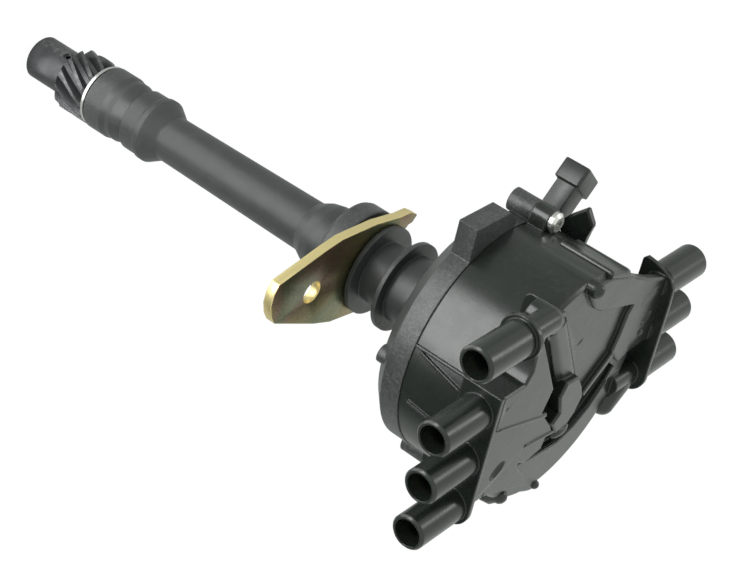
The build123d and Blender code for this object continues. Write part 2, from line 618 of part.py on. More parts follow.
RIGHT_ARM = [
    (6.5, -54.5), (3.5, -48.2), (-3.2, -40.3), (-9.4, -36.5), (-24.0, -31.8), (-39.7, -27.1),
    (-42.0, -34.0), (-32.7, -44.5), (-11.0, -53.0),
]
DUCT_WALL = [(-33.4, -4.5), (-16.2, 10.1), (-18.3, 12.7), (-35.5, -1.5)]
RIM = [
    (33.0, 27.0), (15.0, 29.5), (-3.0, 31.0), (-14.5, 27.4), (-24.3, 21.5), (-34.2, 11.5), (-38.5, 5.5),
    (-37.0, 4.0), (-32.8, 10.3), (-23.4, 20.0), (-14.0, 25.8), (-3.0, 29.3), (14.6, 27.9), (32.6, 25.4),
]
CORNER_BOSS = [(24.8, 36.2), (7.4, 39.9), (-2.0, 49.5), (-5.9, 55.0), (-4.1, 59.8), (2.1, 58.5), (12.0, 53.5)]
LEFT_PLATE_END = -30.0
RIGHT_PLATE = [
    (22.0, TOWER_Z - PLATE_R), (-34.0, TOWER_Z - PLATE_R), (-35.6, TOWER_Z - 7.9), (-35.0, TOWER_Z - 3.7),
    (-33.6, TOWER_Z + 1.0), (-31.2, TOWER_Z + 6.0), (-27.3, TOWER_Z + 8.3), (-19.5, TOWER_Z + 8.9),
    (22.0, TOWER_Z + PLATE_R),
]
END_CONDUIT = (16.0, 12.0)        # how far the end conduit runs inward, and how far it swings aside
ARM_DEPTH = 1.5
POST_DOME = (2.0, -52.6)
POST_DOME_R = 3.8
WALL_RIBS = [(-20.0, 78.0, -20.0, 104.0), (-18.5, 81.0, -13.0, 104.0), (6.0, 82.0, 8.0, 95.0)]
RIB_T = 1.2
ELECTRODE_BOSS = 10.0


def duct_block(outline, top_z, edge, bottom_z=BLOCK_BOTTOM_Z):
    """Solid block under one outline, bevelled along its top edge."""
    with BuildPart() as block:
        with BuildSketch(Plane.XY.offset(top_z)):
            with BuildLine():
                Polyline(*outline, close=True)
            make_face()
        extrude(amount=bottom_z - top_z)
        chamfer(block.faces().sort_by(Axis.Z)[-1].edges(), edge)
    return block.part


ducts = [
    duct_block(CENTRE_BLOCK, LEFT_TOP_Z, DUCT_EDGE),
    duct_block(LEFT_BLOCK, LEFT_TOP_Z, DUCT_EDGE),
    duct_block(LEFT_STEP, STEP_Z, DUCT_EDGE),
    duct_block(LEFT_RECESS, RECESS_Z, DUCT_EDGE),
    duct_block(RIGHT_BLOCK, RIGHT_TOP_Z, DUCT_EDGE, TOWER_Z),
    duct_block(RIGHT_ARM, RIGHT_TOP_Z, DUCT_EDGE, DECK_Z - ARM_DEPTH),
    duct_block(DUCT_WALL, RIGHT_TOP_Z, DUCT_EDGE / 2),
    duct_block(RIM, RIM_Z, DUCT_EDGE / 2),
    duct_block(CORNER_BOSS, DECK_Z, 2 * DUCT_EDGE),
]

with BuildPart() as tower:
    Cylinder(TOWER_D / 2, TOWER_LENGTH, align=UP)
    chamfer(tower.edges().filter_by(GeomType.CIRCLE).sort_by(Axis.Z)[-1], TOWER_MOUTH_CHAMFER)

TOWER_PLACES = [along_x(1, TOWER_BASE_X, y, TOWER_Z) for y in LEFT_TOWERS]
TOWER_PLACES += [along_x(-1, TOWER_BASE_X, y, TOWER_Z) for y in RIGHT_TOWERS]
TOWER_PLACES.append(along_x(1, TOWER_BASE_X, COIL_TOWER_Y, COIL_TOWER_Z))
END_TOWER_Y = RIGHT_TOWERS[-1]
END_LENGTH = hypot(*END_CONDUIT)
END_DIRECTION = (END_CONDUIT[0] / END_LENGTH, END_CONDUIT[1] / END_LENGTH, 0)

with BuildPart() as cap:
    with Locations((0, 0, SEAM_Z)):
        Cylinder(CAP_R, DECK_Z - SEAM_Z, align=UP)
    chamfer(cap.edges().filter_by(GeomType.CIRCLE).sort_by(Axis.Z)[-1], CAP_EDGE)
    for duct in ducts:
        add(duct)
    # coil duct: a rounded arch from the shaft axis to the elbow behind the coil tower
    for start, end, radius in (((0, 0), COIL_KNEE, COIL_RIB_R), (COIL_KNEE, COIL_ELBOW, CONDUIT_R)):
        run = hypot(end[0] - start[0], end[1] - start[1])
        ahead = ((end[0] - start[0]) / run, (end[1] - start[1]) / run)
        with BuildSketch(Plane((*start, BLOCK_BOTTOM_Z), x_dir=(-ahead[1], ahead[0], 0), z_dir=(*ahead, 0))):
            RectangleRounded(
                2 * radius, COIL_RIB_TOP_Z - BLOCK_BOTTOM_Z, radius * 0.7, align=(Align.CENTER, Align.MIN)
            )
        extrude(amount=run)
    with Locations((*COIL_KNEE, BLOCK_BOTTOM_Z)):
        Cylinder(COIL_RIB_R, COIL_RIB_TOP_Z - BLOCK_BOTTOM_Z - 2 * DUCT_EDGE, align=UP)
    with Locations((*COIL_ELBOW, BLOCK_BOTTOM_Z)):
        Cylinder(CONDUIT_R, COIL_TOWER_Z - BLOCK_BOTTOM_Z, align=UP)
    with Locations(along_x(1, COIL_ELBOW_X, COIL_TOWER_Y, COIL_TOWER_Z)):
        Cylinder(CONDUIT_R, PLATE_X - COIL_ELBOW_X, align=UP)
        Sphere(CONDUIT_R)
    # tower plates, towers and the conduits that carry the terminals to their plates
    with BuildSketch(Plane.YZ.offset(PLATE_INNER_X)):
        with Locations((LEFT_PLATE_END, TOWER_Z)):
            Rectangle(LEFT_TOWERS[-1] - LEFT_PLATE_END, 2 * PLATE_R, align=(Align.MIN, Align.CENTER))
        with Locations((LEFT_TOWERS[-1], TOWER_Z), (COIL_TOWER_Y, COIL_TOWER_Z)):
            Circle(PLATE_R)
    extrude(amount=PLATE_T)
    with BuildSketch(Plane.YZ.offset(-PLATE_INNER_X)):
        with BuildLine():
            Polyline(*RIGHT_PLATE, close=True)
        make_face()
        with Locations((RIGHT_TOWERS[-1], TOWER_Z)):
            Circle(PLATE_R)
    extrude(amount=-PLATE_T)
    with Locations(*TOWER_PLACES):
        add(tower.part)
    with Locations(*[along_x(side, STRIP_REACH - STRIP_W, y, TOWER_Z) for side, _, y in PATHS]):
        Cylinder(CONDUIT_R, PLATE_X - STRIP_REACH + STRIP_W, align=UP)
    with BuildSketch(Plane(origin=(-PLATE_X, END_TOWER_Y, TOWER_Z), z_dir=END_DIRECTION)):
        Circle(CONDUIT_R)
    extrude(amount=END_LENGTH)
    with Locations((END_CONDUIT[0] - PLATE_X, END_TOWER_Y + END_CONDUIT[1], TOWER_Z)):
        Sphere(CONDUIT_R)
    with Locations((*POST_DOME, RIGHT_TOP_Z)):
        Cylinder(POST_DOME_R, RIGHT_TOP_Z - DECK_Z + ARM_DEPTH, align=DOWN)
        Sphere(POST_DOME_R)
    # ears for the screws, ribs on the wall
    with Locations(*[(x, y, SEAM_Z) for x, y in SCREW_POINTS]):
        Cylinder(POST_D / 2, EAR_T, align=UP)
    for angle in (SCREW_ANGLE, SCREW_ANGLE + 180):
        with Locations(turned(angle, SEAM_Z)):
            with Locations((CAP_R - CAP_WALL, 0)):
                Box(SCREW_R - CAP_R + CAP_WALL, POST_D, EAR_T, align=(Align.MIN, Align.CENTER, Align.MIN))
    for low_angle, low_z, high_angle, high_z in WALL_RIBS:
        lean = CAP_R * radians(low_angle - high_angle) / (high_z - low_z)
        with Locations(turned((low_angle + high_angle) / 2, (low_z + high_z) / 2)):
            with Locations(Location((CAP_R, 0, 0), (degrees(atan(lean)), 0, 0))):
                Box(2 * RIB_T, RIB_T, high_z - low_z)
    # cavity, with a skirt lip below the seam and bosses round the electrodes and the button
    with Locations((0, 0, SEAM_Z - CAP_LIP_DEPTH)):
        Cylinder(BASE_INNER_R - SLIP, CAP_LIP_DEPTH, align=UP)
        Cylinder(CAVITY_R - CAP_LIP_T, CAP_LIP_DEPTH + CAP_LIP_T, align=UP, mode=Mode.SUBTRACT)
    with Locations((0, 0, SEAM_Z + CAP_LIP_T)):
        Cylinder(CAVITY_R, CAVITY_TOP_Z - SEAM_Z - CAP_LIP_T, align=UP, mode=Mode.SUBTRACT)
    with Locations(*[(*polar(ELECTRODE_R, angle), CAVITY_TOP_Z) for _, angle, _ in PATHS]):
        Cylinder(ELECTRODE_D / 2 + CAP_WALL / 2, ELECTRODE_BOSS, align=DOWN)
    with Locations((0, 0, CAVITY_TOP_Z)):
        Cylinder(BUTTON_D / 2 + CAP_WALL, CAP_WALL, align=DOWN)
    # seats of the moulded-in conductors, tower bores, screw holes and the connector clearance
    add(conductors.part, mode=Mode.SUBTRACT)
    add(coil_conductor.part, mode=Mode.SUBTRACT)
    add(button.part, mode=Mode.SUBTRACT)
    with Locations(*TOWER_PLACES):
        with Locations((0, 0, TOWER_LENGTH)):
            Cylinder(TOWER_BORE_D / 2, TOWER_BORE_DEPTH, align=DOWN, mode=Mode.SUBTRACT)
    with Locations(*[(x, y, SEAM_Z) for x, y in SCREW_POINTS]):
        Cylinder(CAP_SCREW_HOLE_D / 2, EAR_T, align=UP, mode=Mode.SUBTRACT)
    with Locations(*[(x, y, SEAM_Z + EAR_T) for x, y in SCREW_POINTS]):
        Cylinder(CAP_SCREW_HEAD_D / 2 + SLIP, 2 * CAP_SCREW_HEAD_T, align=UP, mode=Mode.SUBTRACT)
    with Locations(turned(SENSOR_ANGLE, SEAM_Z)):
        with Locations((BASE_INNER_R, 0)):
            Box(4 * CAP_WALL, NECK_W + 2 * SLIP, CAP_LIP_DEPTH, align=DOWN, mode=Mode.SUBTRACT)
save(cap.part, "distributor_cap")

# ---------------------------------------------------------------- screws that hold the cap
with BuildPart() as cap_screw:
    with Locations((0, 0, EAR_T)):
        Cylinder(CAP_SCREW_HEAD_D / 2, CAP_SCREW_HEAD_T, align=UP)
        Cylinder(CAP_SCREW_D / 2, CAP_SCREW_LENGTH, align=DOWN)
    chamfer(cap_screw.edges().filter_by(GeomType.CIRCLE).sort_by(Axis.Z)[-1], CAP_SCREW_HEAD_T * 0.4)
    with BuildSketch(Plane.XY.offset(EAR_T + CAP_SCREW_HEAD_T)):
        Circle(LOBE_RING_R)
        with PolarLocations(LOBE_RING_R, 6):
            Circle(LOBE_R)
    extrude(amount=-LOBE_DEPTH, mode=Mode.SUBTRACT)
with BuildPart() as cap_screws:
    with Locations(*[(x, y, SEAM_Z) for x, y in SCREW_POINTS]):
        add(cap_screw.part)
save(cap_screws.part, "cap_screws")

# ---------------------------------------------------------------- shutter wheel, rotor and its contact
ROTOR_SCREW_POINTS = [polar(ROTOR_SCREW_R, 90), polar(ROTOR_SCREW_R, -90)]
ROTOR_SCREW_BOSS_R = ROTOR_SCREW_D / 2 + 2.0
ROTOR_SCREW_LENGTH = ROTOR_T + WHEEL_T + 3.0
with BuildPart() as wheel:
    with Locations((0, 0, WHEEL_BOTTOM_Z)):
        Cylinder(WHEEL_R, WHEEL_T, align=UP)
        Cylinder(WHEEL_R, VANE_DEPTH, align=DOWN)
        Cylinder(WHEEL_R - VANE_T, VANE_DEPTH, align=DOWN, mode=Mode.SUBTRACT)
        Box(2 * WHEEL_R, WHEEL_R, VANE_DEPTH, align=(Align.CENTER, Align.MIN, Align.MAX), mode=Mode.SUBTRACT)
        Cylinder(WHEEL_HUB_R, WHEEL_HUB_LENGTH, align=DOWN)
    with Locations(*[(x, y, WHEEL_BOTTOM_Z) for x, y in ROTOR_SCREW_POINTS]):
        Cylinder(ROTOR_SCREW_BOSS_R, ROTOR_SCREW_LENGTH - ROTOR_T - WHEEL_T, align=DOWN)
    with Locations((0, 0, ROTOR_Z)):
        Cylinder(SHAFT_D / 2, WHEEL_T + WHEEL_HUB_LENGTH, align=DOWN, mode=Mode.SUBTRACT)
    with Locations(*[(x, y, ROTOR_Z) for x, y in ROTOR_SCREW_POINTS]):
        Cylinder(ROTOR_SCREW_D / 2, ROTOR_SCREW_LENGTH, align=DOWN, mode=Mode.SUBTRACT)
save(wheel.part, "shutter_wheel")

HUB_TOP_Z = SHAFT_TOP_Z + 2.0
with BuildPart() as rotor:
    with Locations((0, 0, ROTOR_Z)):
        Cylinder(ROTOR_R, ROTOR_T, align=UP)
        Box(ROTOR_TIP_R, ROTOR_ARM_W, ROTOR_T, align=(Align.MIN, Align.CENTER, Align.MIN))
        Cylinder(ROTOR_HUB_R, HUB_TOP_Z - ROTOR_Z, align=UP)
        Cylinder(SHAFT_D / 2, SHAFT_TOP_Z - ROTOR_Z, align=UP, mode=Mode.SUBTRACT)
    with Locations(*[(x, y, ROTOR_Z) for x, y in ROTOR_SCREW_POINTS]):
        Cylinder(ROTOR_SCREW_D / 2, ROTOR_T, align=UP, mode=Mode.SUBTRACT)
save(rotor.part, "rotor")

# strip on the arm that climbs the hub and ends in a leaf under the carbon button
LEAF_TOP_Z = BUTTON_BOTTOM_Z - BRUSH_GAP
with BuildPart() as contact:
    with BuildSketch(Plane.XZ):
        with BuildLine():
            Polyline(
                (ROTOR_TIP_R + EDGE_BREAK, ROTOR_TOP_Z),
                (ROTOR_TIP_R + EDGE_BREAK, ROTOR_TOP_Z + CONTACT_T),
                (ROTOR_HUB_R + CONTACT_T, ROTOR_TOP_Z + CONTACT_T),
                (ROTOR_HUB_R + CONTACT_T, HUB_TOP_Z + LEAF_T),
                (BUTTON_D / 2, LEAF_TOP_Z),
                (-BUTTON_D / 2, LEAF_TOP_Z),
                (-BUTTON_D / 2, LEAF_TOP_Z - LEAF_T),
                (BUTTON_D / 2, LEAF_TOP_Z - LEAF_T),
                (ROTOR_HUB_R, HUB_TOP_Z),
                (ROTOR_HUB_R, ROTOR_TOP_Z),
                close=True,
            )
        make_face()
    extrude(amount=CONTACT_W / 2, both=True)
    with Locations((0, 0, ROTOR_TOP_Z)):
        Cylinder(ROTOR_HUB_R, HUB_TOP_Z - ROTOR_TOP_Z, align=UP, mode=Mode.SUBTRACT)
save(contact.part, "rotor_contact")

with BuildPart() as rotor_screws:
    with Locations(*[(x, y, ROTOR_TOP_Z) for x, y in ROTOR_SCREW_POINTS]):
        Cylinder(ROTOR_SCREW_D / 2, ROTOR_SCREW_LENGTH, align=DOWN)
        Cylinder(ROTOR_SCREW_HEAD_D / 2, ROTOR_SCREW_HEAD_T, align=UP)
    with Locations(*[(x, y, ROTOR_TOP_Z + ROTOR_SCREW_HEAD_T) for x, y in ROTOR_SCREW_POINTS]):
        Box(ROTOR_SCREW_HEAD_D, ROTOR_SCREW_SLOT, ROTOR_SCREW_HEAD_T, mode=Mode.SUBTRACT)
save(rotor_screws.part, "rotor_screws")

# ---------------------------------------------------------------- cam sensor inside the base
SENSOR_BASE = turned(SENSOR_ANGLE, BASE_FLOOR_Z)
SENSOR_MID_R = (SENSOR_INNER_R[0] + SENSOR_PLATE_R) / 2
SENSOR_SCREW_SPOTS = [(SENSOR_SCREW_R, SENSOR_SCREW_SIDE), (SENSOR_SCREW_R, -SENSOR_SCREW_SIDE)]
with BuildPart() as sensor:
    with BuildSketch(SENSOR_BASE):
        with Locations((SENSOR_MID_R, 0)):
            Rectangle(SENSOR_PLATE_R - SENSOR_INNER_R[0], SENSOR_W)
        with Locations(*SENSOR_SCREW_SPOTS):
            Circle(SENSOR_SCREW_HEAD_D / 2 + EDGE_BREAK)
    extrude(amount=SENSOR_PLATE_T)
    with BuildSketch(SENSOR_BASE):
        with Locations(((SENSOR_INNER_R[0] + SENSOR_OUTER_R[1]) / 2, 0)):
            Rectangle(SENSOR_OUTER_R[1] - SENSOR_INNER_R[0], SENSOR_W - 2 * EDGE_BREAK)
    extrude(amount=SENSOR_BRIDGE_T)
    with BuildSketch(SENSOR_BASE):
        for low_r, high_r in (SENSOR_INNER_R, SENSOR_OUTER_R):
            with Locations(((low_r + high_r) / 2, 0)):
                Rectangle(high_r - low_r, SENSOR_W - 2 * EDGE_BREAK)
    extrude(amount=SENSOR_TOP_Z - BASE_FLOOR_Z)
    with Locations(SENSOR_BASE):
        with Locations(*SENSOR_SCREW_SPOTS):
            Cylinder(SENSOR_SCREW_D / 2, SENSOR_PLATE_T, align=UP, mode=Mode.SUBTRACT)
save(sensor.part, "camshaft_sensor")

with BuildPart() as sensor_screws:
    with Locations(turned(SENSOR_ANGLE, BASE_FLOOR_Z + SENSOR_PLATE_T)):
        with Locations(*SENSOR_SCREW_SPOTS):
            Cylinder(SENSOR_SCREW_D / 2, SENSOR_PLATE_T + SENSOR_SCREW_BITE, align=DOWN)
            Cylinder(SENSOR_SCREW_HEAD_D / 2, SENSOR_SCREW_HEAD_T, align=UP)
        with Locations(*[(x, y, SENSOR_SCREW_HEAD_T) for x, y in SENSOR_SCREW_SPOTS]):
            Box(SENSOR_SCREW_HEAD_D, ROTOR_SCREW_SLOT, SENSOR_SCREW_HEAD_T, mode=Mode.SUBTRACT)
save(sensor_screws.part, "sensor_screws")

# ---------------------------------------------------------------- connector and its terminals
NECK_MID_Z = NECK_TOP_Z - NECK_H / 2
SOCKET_FACE = Plane(
    origin=(0, 0, NECK_MID_Z),
    x_dir=(*polar(1, SENSOR_ANGLE - 90), 0),
    z_dir=(*polar(1, SENSOR_ANGLE), 0),
)
PIN_SPOTS = [((i - (PIN_COUNT - 1) / 2) * PIN_PITCH, 0) for i in range(PIN_COUNT)]
PIN_END_R = SOCKET_END_R - SOCKET_DEPTH + PIN_LENGTH
with BuildPart() as connector:
    with BuildSketch(SOCKET_FACE.offset(SENSOR_PLATE_R)):
        Rectangle(NECK_W, NECK_H)
    extrude(amount=SOCKET_START_R - SENSOR_PLATE_R)
    with BuildSketch(SOCKET_FACE.offset(SOCKET_START_R)):
        RectangleRounded(SOCKET_W, SOCKET_H, SOCKET_WALL)
    extrude(amount=SOCKET_END_R - SOCKET_START_R)
    # stepped socket and the seats of the terminals
    with BuildSketch(SOCKET_FACE.offset(SOCKET_END_R)):
        Rectangle(NECK_W, NECK_H)
    extrude(amount=SOCKET_START_R - SOCKET_END_R + SOCKET_WALL, mode=Mode.SUBTRACT)
    with BuildSketch(SOCKET_FACE.offset(SOCKET_END_R)):
        Rectangle(NECK_W - 2 * SOCKET_WALL, NECK_H - 2 * SOCKET_WALL)
    extrude(amount=-SOCKET_DEPTH, mode=Mode.SUBTRACT)
    with BuildSketch(SOCKET_FACE.offset(SENSOR_PLATE_R)):
        with Locations(*PIN_SPOTS):
            Rectangle(*PIN_SIZE)
    extrude(amount=SOCKET_END_R - SOCKET_DEPTH - SENSOR_PLATE_R, mode=Mode.SUBTRACT)
save(connector.part, "sensor_connector")

with BuildPart() as terminals:
    with BuildSketch(SOCKET_FACE.offset(SENSOR_PLATE_R)):
        with Locations(*PIN_SPOTS):
            Rectangle(*PIN_SIZE)
    extrude(amount=PIN_END_R - SENSOR_PLATE_R)
save(terminals.part, "connector_terminals")
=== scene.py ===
"""Ignition distributor: materials, detail pieces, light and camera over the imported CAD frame."""
import math

import bmesh
import bpy
from mathutils import Matrix, Vector


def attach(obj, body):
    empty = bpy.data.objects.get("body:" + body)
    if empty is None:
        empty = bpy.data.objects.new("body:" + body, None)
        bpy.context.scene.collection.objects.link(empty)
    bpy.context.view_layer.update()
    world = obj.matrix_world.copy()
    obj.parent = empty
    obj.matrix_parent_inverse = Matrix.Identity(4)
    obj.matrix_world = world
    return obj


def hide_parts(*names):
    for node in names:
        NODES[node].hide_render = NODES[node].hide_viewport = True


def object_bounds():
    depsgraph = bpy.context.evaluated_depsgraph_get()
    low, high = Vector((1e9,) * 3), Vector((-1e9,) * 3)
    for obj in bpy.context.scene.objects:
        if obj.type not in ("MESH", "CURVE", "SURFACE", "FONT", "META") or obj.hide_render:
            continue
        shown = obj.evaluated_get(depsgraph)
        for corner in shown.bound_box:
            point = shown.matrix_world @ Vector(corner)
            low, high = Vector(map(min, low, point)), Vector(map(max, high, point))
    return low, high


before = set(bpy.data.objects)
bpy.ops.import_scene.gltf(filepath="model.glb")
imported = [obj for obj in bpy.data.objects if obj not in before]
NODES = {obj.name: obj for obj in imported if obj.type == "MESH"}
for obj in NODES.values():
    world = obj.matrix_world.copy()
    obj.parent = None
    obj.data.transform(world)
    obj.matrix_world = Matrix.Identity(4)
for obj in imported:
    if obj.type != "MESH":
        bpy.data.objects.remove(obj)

CAD_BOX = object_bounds()
MM = 0.001                        # the frame is in metres, the shapes of the pieces below are in mm

# ---------------------------------------------------------------- shader nodes
BEVEL_SAMPLES = 6
EDGE_POINTINESS = (0.52, 0.6)     # from flat to sharp outer edge
NOISE_BAND = (0.3, 0.7)           # the middle of a noise, where nearly all of its values lie
MIX_FACTOR, MIX_A, MIX_B, MIX_RESULT = 0, 6, 7, 2     # colour sockets of the mix node


class Graph:
    """Small helper that adds and links shader nodes of one material."""

    def __init__(self, name):
        self.material = bpy.data.materials.new(name)
        self.material.use_nodes = True
        self.tree = self.material.node_tree
        self.shader = self.tree.nodes["Principled BSDF"]
        self.output = self.tree.nodes["Material Output"]
        self.place = self.add("ShaderNodeTexCoord").outputs["Object"]

    def add(self, kind, **settings):
        node = self.tree.nodes.new(kind)
        for key, value in settings.items():
            setattr(node, key, value)
        return node

    def join(self, outlet, inlet):
        self.tree.links.new(outlet, inlet)

    def noise(self, scale, detail, roughness=0.5, stretch=None, distortion=0.0):
        node = self.add("ShaderNodeTexNoise")
        node.inputs["Scale"].default_value = scale
        node.inputs["Detail"].default_value = detail
        node.inputs["Roughness"].default_value = roughness
        node.inputs["Distortion"].default_value = distortion
        place = self.place
        if stretch:
            mapping = self.add("ShaderNodeMapping")
            mapping.inputs["Scale"].default_value = stretch
            self.join(place, mapping.inputs["Vector"])
            place = mapping.outputs["Vector"]
        self.join(place, node.inputs["Vector"])
        return node.outputs["Fac"]

    def ramp(self, value, stops):
        """Colour along stops of (value, colour)."""
        node = self.add("ShaderNodeValToRGB")
        elements = node.color_ramp.elements
        while len(elements) < len(stops):
            elements.new(0.5)
        for element, (place, colour) in zip(elements, stops):
            element.position = place
            element.color = (*colour, 1.0)
        self.join(value, node.inputs["Fac"])
        return node.outputs["Color"]

    def span(self, value, low, high, to_low=0.0, to_high=1.0):
        """The value's range from low to high, brought to another range and held at its ends."""
        node = self.add("ShaderNodeMapRange")
        limits = {"From Min": low, "From Max": high, "To Min": to_low, "To Max": to_high}
        for key, number in limits.items():
            node.inputs[key].default_value = number
        self.join(value, node.inputs["Value"])
        return node.outputs["Result"]

    def math(self, operation, a, b=0.0):
        node = self.add("ShaderNodeMath", operation=operation)
        for socket, value in zip(node.inputs, (a, b)):
            if isinstance(value, float):
                socket.default_value = value
            else:
                self.join(value, socket)
        return node.outputs["Value"]

    def mix(self, factor, a, b, blend="MIX"):
        node = self.add("ShaderNodeMix", data_type="RGBA", blend_type=blend)
        for index, value in ((MIX_FACTOR, factor), (MIX_A, a), (MIX_B, b)):
            socket = node.inputs[index]
            if isinstance(value, float):
                socket.default_value = value
            elif isinstance(value, tuple):
                socket.default_value = (*value, 1.0)
            else:
                self.join(value, socket)
        return node.outputs[MIX_RESULT]

    def along(self, direction):
        """How far the object's own point lies along a direction."""
        node = self.add("ShaderNodeVectorMath", operation="DOT_PRODUCT")
        node.inputs[1].default_value = direction
        self.join(self.place, node.inputs[0])
        return node.outputs["Value"]

    def edges(self):
        """0 on flats, 1 on sharp outer edges."""
        geometry = self.add("ShaderNodeNewGeometry")
        return self.span(geometry.outputs["Pointiness"], *EDGE_POINTINESS)

    def colour(self, value):
        self.join(value, self.shader.inputs["Base Color"])

    def gloss(self, value, rough):
        """Uneven gloss: the roughness wanders over a range with the value."""
        self.join(self.span(value, *NOISE_BAND, *rough), self.shader.inputs["Roughness"])

    def bump(self, height, distance, round_edges=0.0):
        """Fine relief, over edges that look rounded by a radius if one is given."""
        node = self.add("ShaderNodeBump")
        if round_edges:
            bevel = self.add("ShaderNodeBevel", samples=BEVEL_SAMPLES)
            bevel.inputs["Radius"].default_value = round_edges
            self.join(bevel.outputs["Normal"], node.inputs["Normal"])
        node.inputs["Distance"].default_value = distance
        node.inputs["Strength"].default_value = 1.0
        self.join(height, node.inputs["Height"])
        self.join(node.outputs["Normal"], self.shader.inputs["Normal"])


# ---------------------------------------------------------------- kinds of material
SPECK_BAND = (0.55, 0.8)          # only the top of the noise shows as specks
SPECK_SHARE = 0.35                # how far the specks lighten a coating
SCUFF_BAND = (0.45, 0.65)
SCUFF_FINENESS = 9.0              # scale of scuffs and of gloss, as multiples of the clouds' scale
GLOSS_FINENESS = 2.3
TARNISH_SCALE = 60.0
TURNING_STRETCH = (0.04, 0.04, 1.0)   # draws noise out into marks round Z
TINT_SCALE = 26.0
CRYSTAL_SCALE = 1500.0
CRYSTAL_BAND = (0.35, 0.7)
CRYSTAL_TONES = (0.72, 1.25)      # by which the crystals darken or lighten the tints
UPRIGHT_BAND = (0.35, 0.8)        # steepness of a face, as its normal's Z, from upright to level, over which the painted highlight on upright sides fades
ZINC_METALLIC = 0.85
ZINC_GLOSS_SCALE = 90.0
ZINC_GRAIN = 1400.0
ZINC_GRAIN_DEPTH = 0.03 * MM


def coated(name, dark, light, wear, rough, grain, grain_depth, metallic=0.0, specular=0.5, cloud=45.0,
           speck=900.0, wear_share=0.5, round_edges=0.0):
    """Coated or moulded surface: cloudy colour, speckle, worn edges, orange-peel bump, uneven gloss."""
    graph = Graph(name)
    clouds = graph.noise(cloud, detail=5.0, roughness=0.6)
    specks = graph.noise(speck, detail=2.0)
    base = graph.ramp(clouds, list(zip(NOISE_BAND, (dark, light))))
    base = graph.mix(graph.span(specks, *SPECK_BAND, to_high=SPECK_SHARE), base, light)
    scuffs = graph.span(graph.noise(cloud * SCUFF_FINENESS, detail=6.0, roughness=0.7), *SCUFF_BAND)
    worn = graph.math("MULTIPLY", graph.math("MULTIPLY", graph.edges(), scuffs), wear_share)
    graph.colour(graph.mix(worn, base, wear))
    graph.gloss(graph.noise(cloud * GLOSS_FINENESS, detail=4.0, roughness=0.6), rough)
    graph.shader.inputs["Metallic"].default_value = metallic
    graph.shader.inputs["Specular IOR Level"].default_value = specular
    graph.bump(graph.noise(grain, detail=3.0, roughness=0.55), grain_depth, round_edges)
    return graph.material


def machined(name, dark, light, rough, turning, depth):
    """Bare metal with fine turning marks round Z and cloudy tarnish."""
    graph = Graph(name)
    marks = graph.noise(turning, detail=3.0, roughness=0.6, stretch=TURNING_STRETCH)
    clouds = graph.noise(TARNISH_SCALE, detail=5.0, roughness=0.6)
    graph.colour(graph.ramp(clouds, list(zip(NOISE_BAND, (dark, light)))))
    graph.gloss(marks, rough)
    graph.shader.inputs["Metallic"].default_value = 1.0
    graph.bump(marks, depth)
    return graph.material


def plated(name, tints, edge, rough, round_edges):
    """Chromated zinc: drifting faint rainbow tints, fine crystals, and a painted highlight of bright gold on
    upright sides.
    """
    graph = Graph(name)
    drift = graph.noise(TINT_SCALE, detail=3.0, distortion=0.8)
    first, last = NOISE_BAND
    step = (last - first) / (len(tints) - 1)
    base = graph.ramp(drift, [(first + step * i, tint) for i, tint in enumerate(tints)])
    crystals = graph.noise(CRYSTAL_SCALE, detail=3.0, roughness=0.6)
    crystals = graph.span(crystals, *CRYSTAL_BAND, *CRYSTAL_TONES)
    base = graph.mix(1.0, base, crystals, "MULTIPLY")
    # Painted highlight: upright sides take a brighter gold, by the steepness of the face.
    geometry = graph.add("ShaderNodeNewGeometry")
    parts = graph.add("ShaderNodeSeparateXYZ")
    graph.join(geometry.outputs["Normal"], parts.inputs["Vector"])
    upright = graph.span(graph.math("ABSOLUTE", parts.outputs["Z"]), *UPRIGHT_BAND, to_low=1.0, to_high=0.0)
    graph.colour(graph.mix(upright, base, edge))
    graph.gloss(graph.noise(ZINC_GLOSS_SCALE, detail=4.0, roughness=0.6), rough)
    graph.shader.inputs["Metallic"].default_value = ZINC_METALLIC
    graph.bump(graph.noise(ZINC_GRAIN, detail=3.0, roughness=0.55), ZINC_GRAIN_DEPTH, round_edges)
    return graph.material


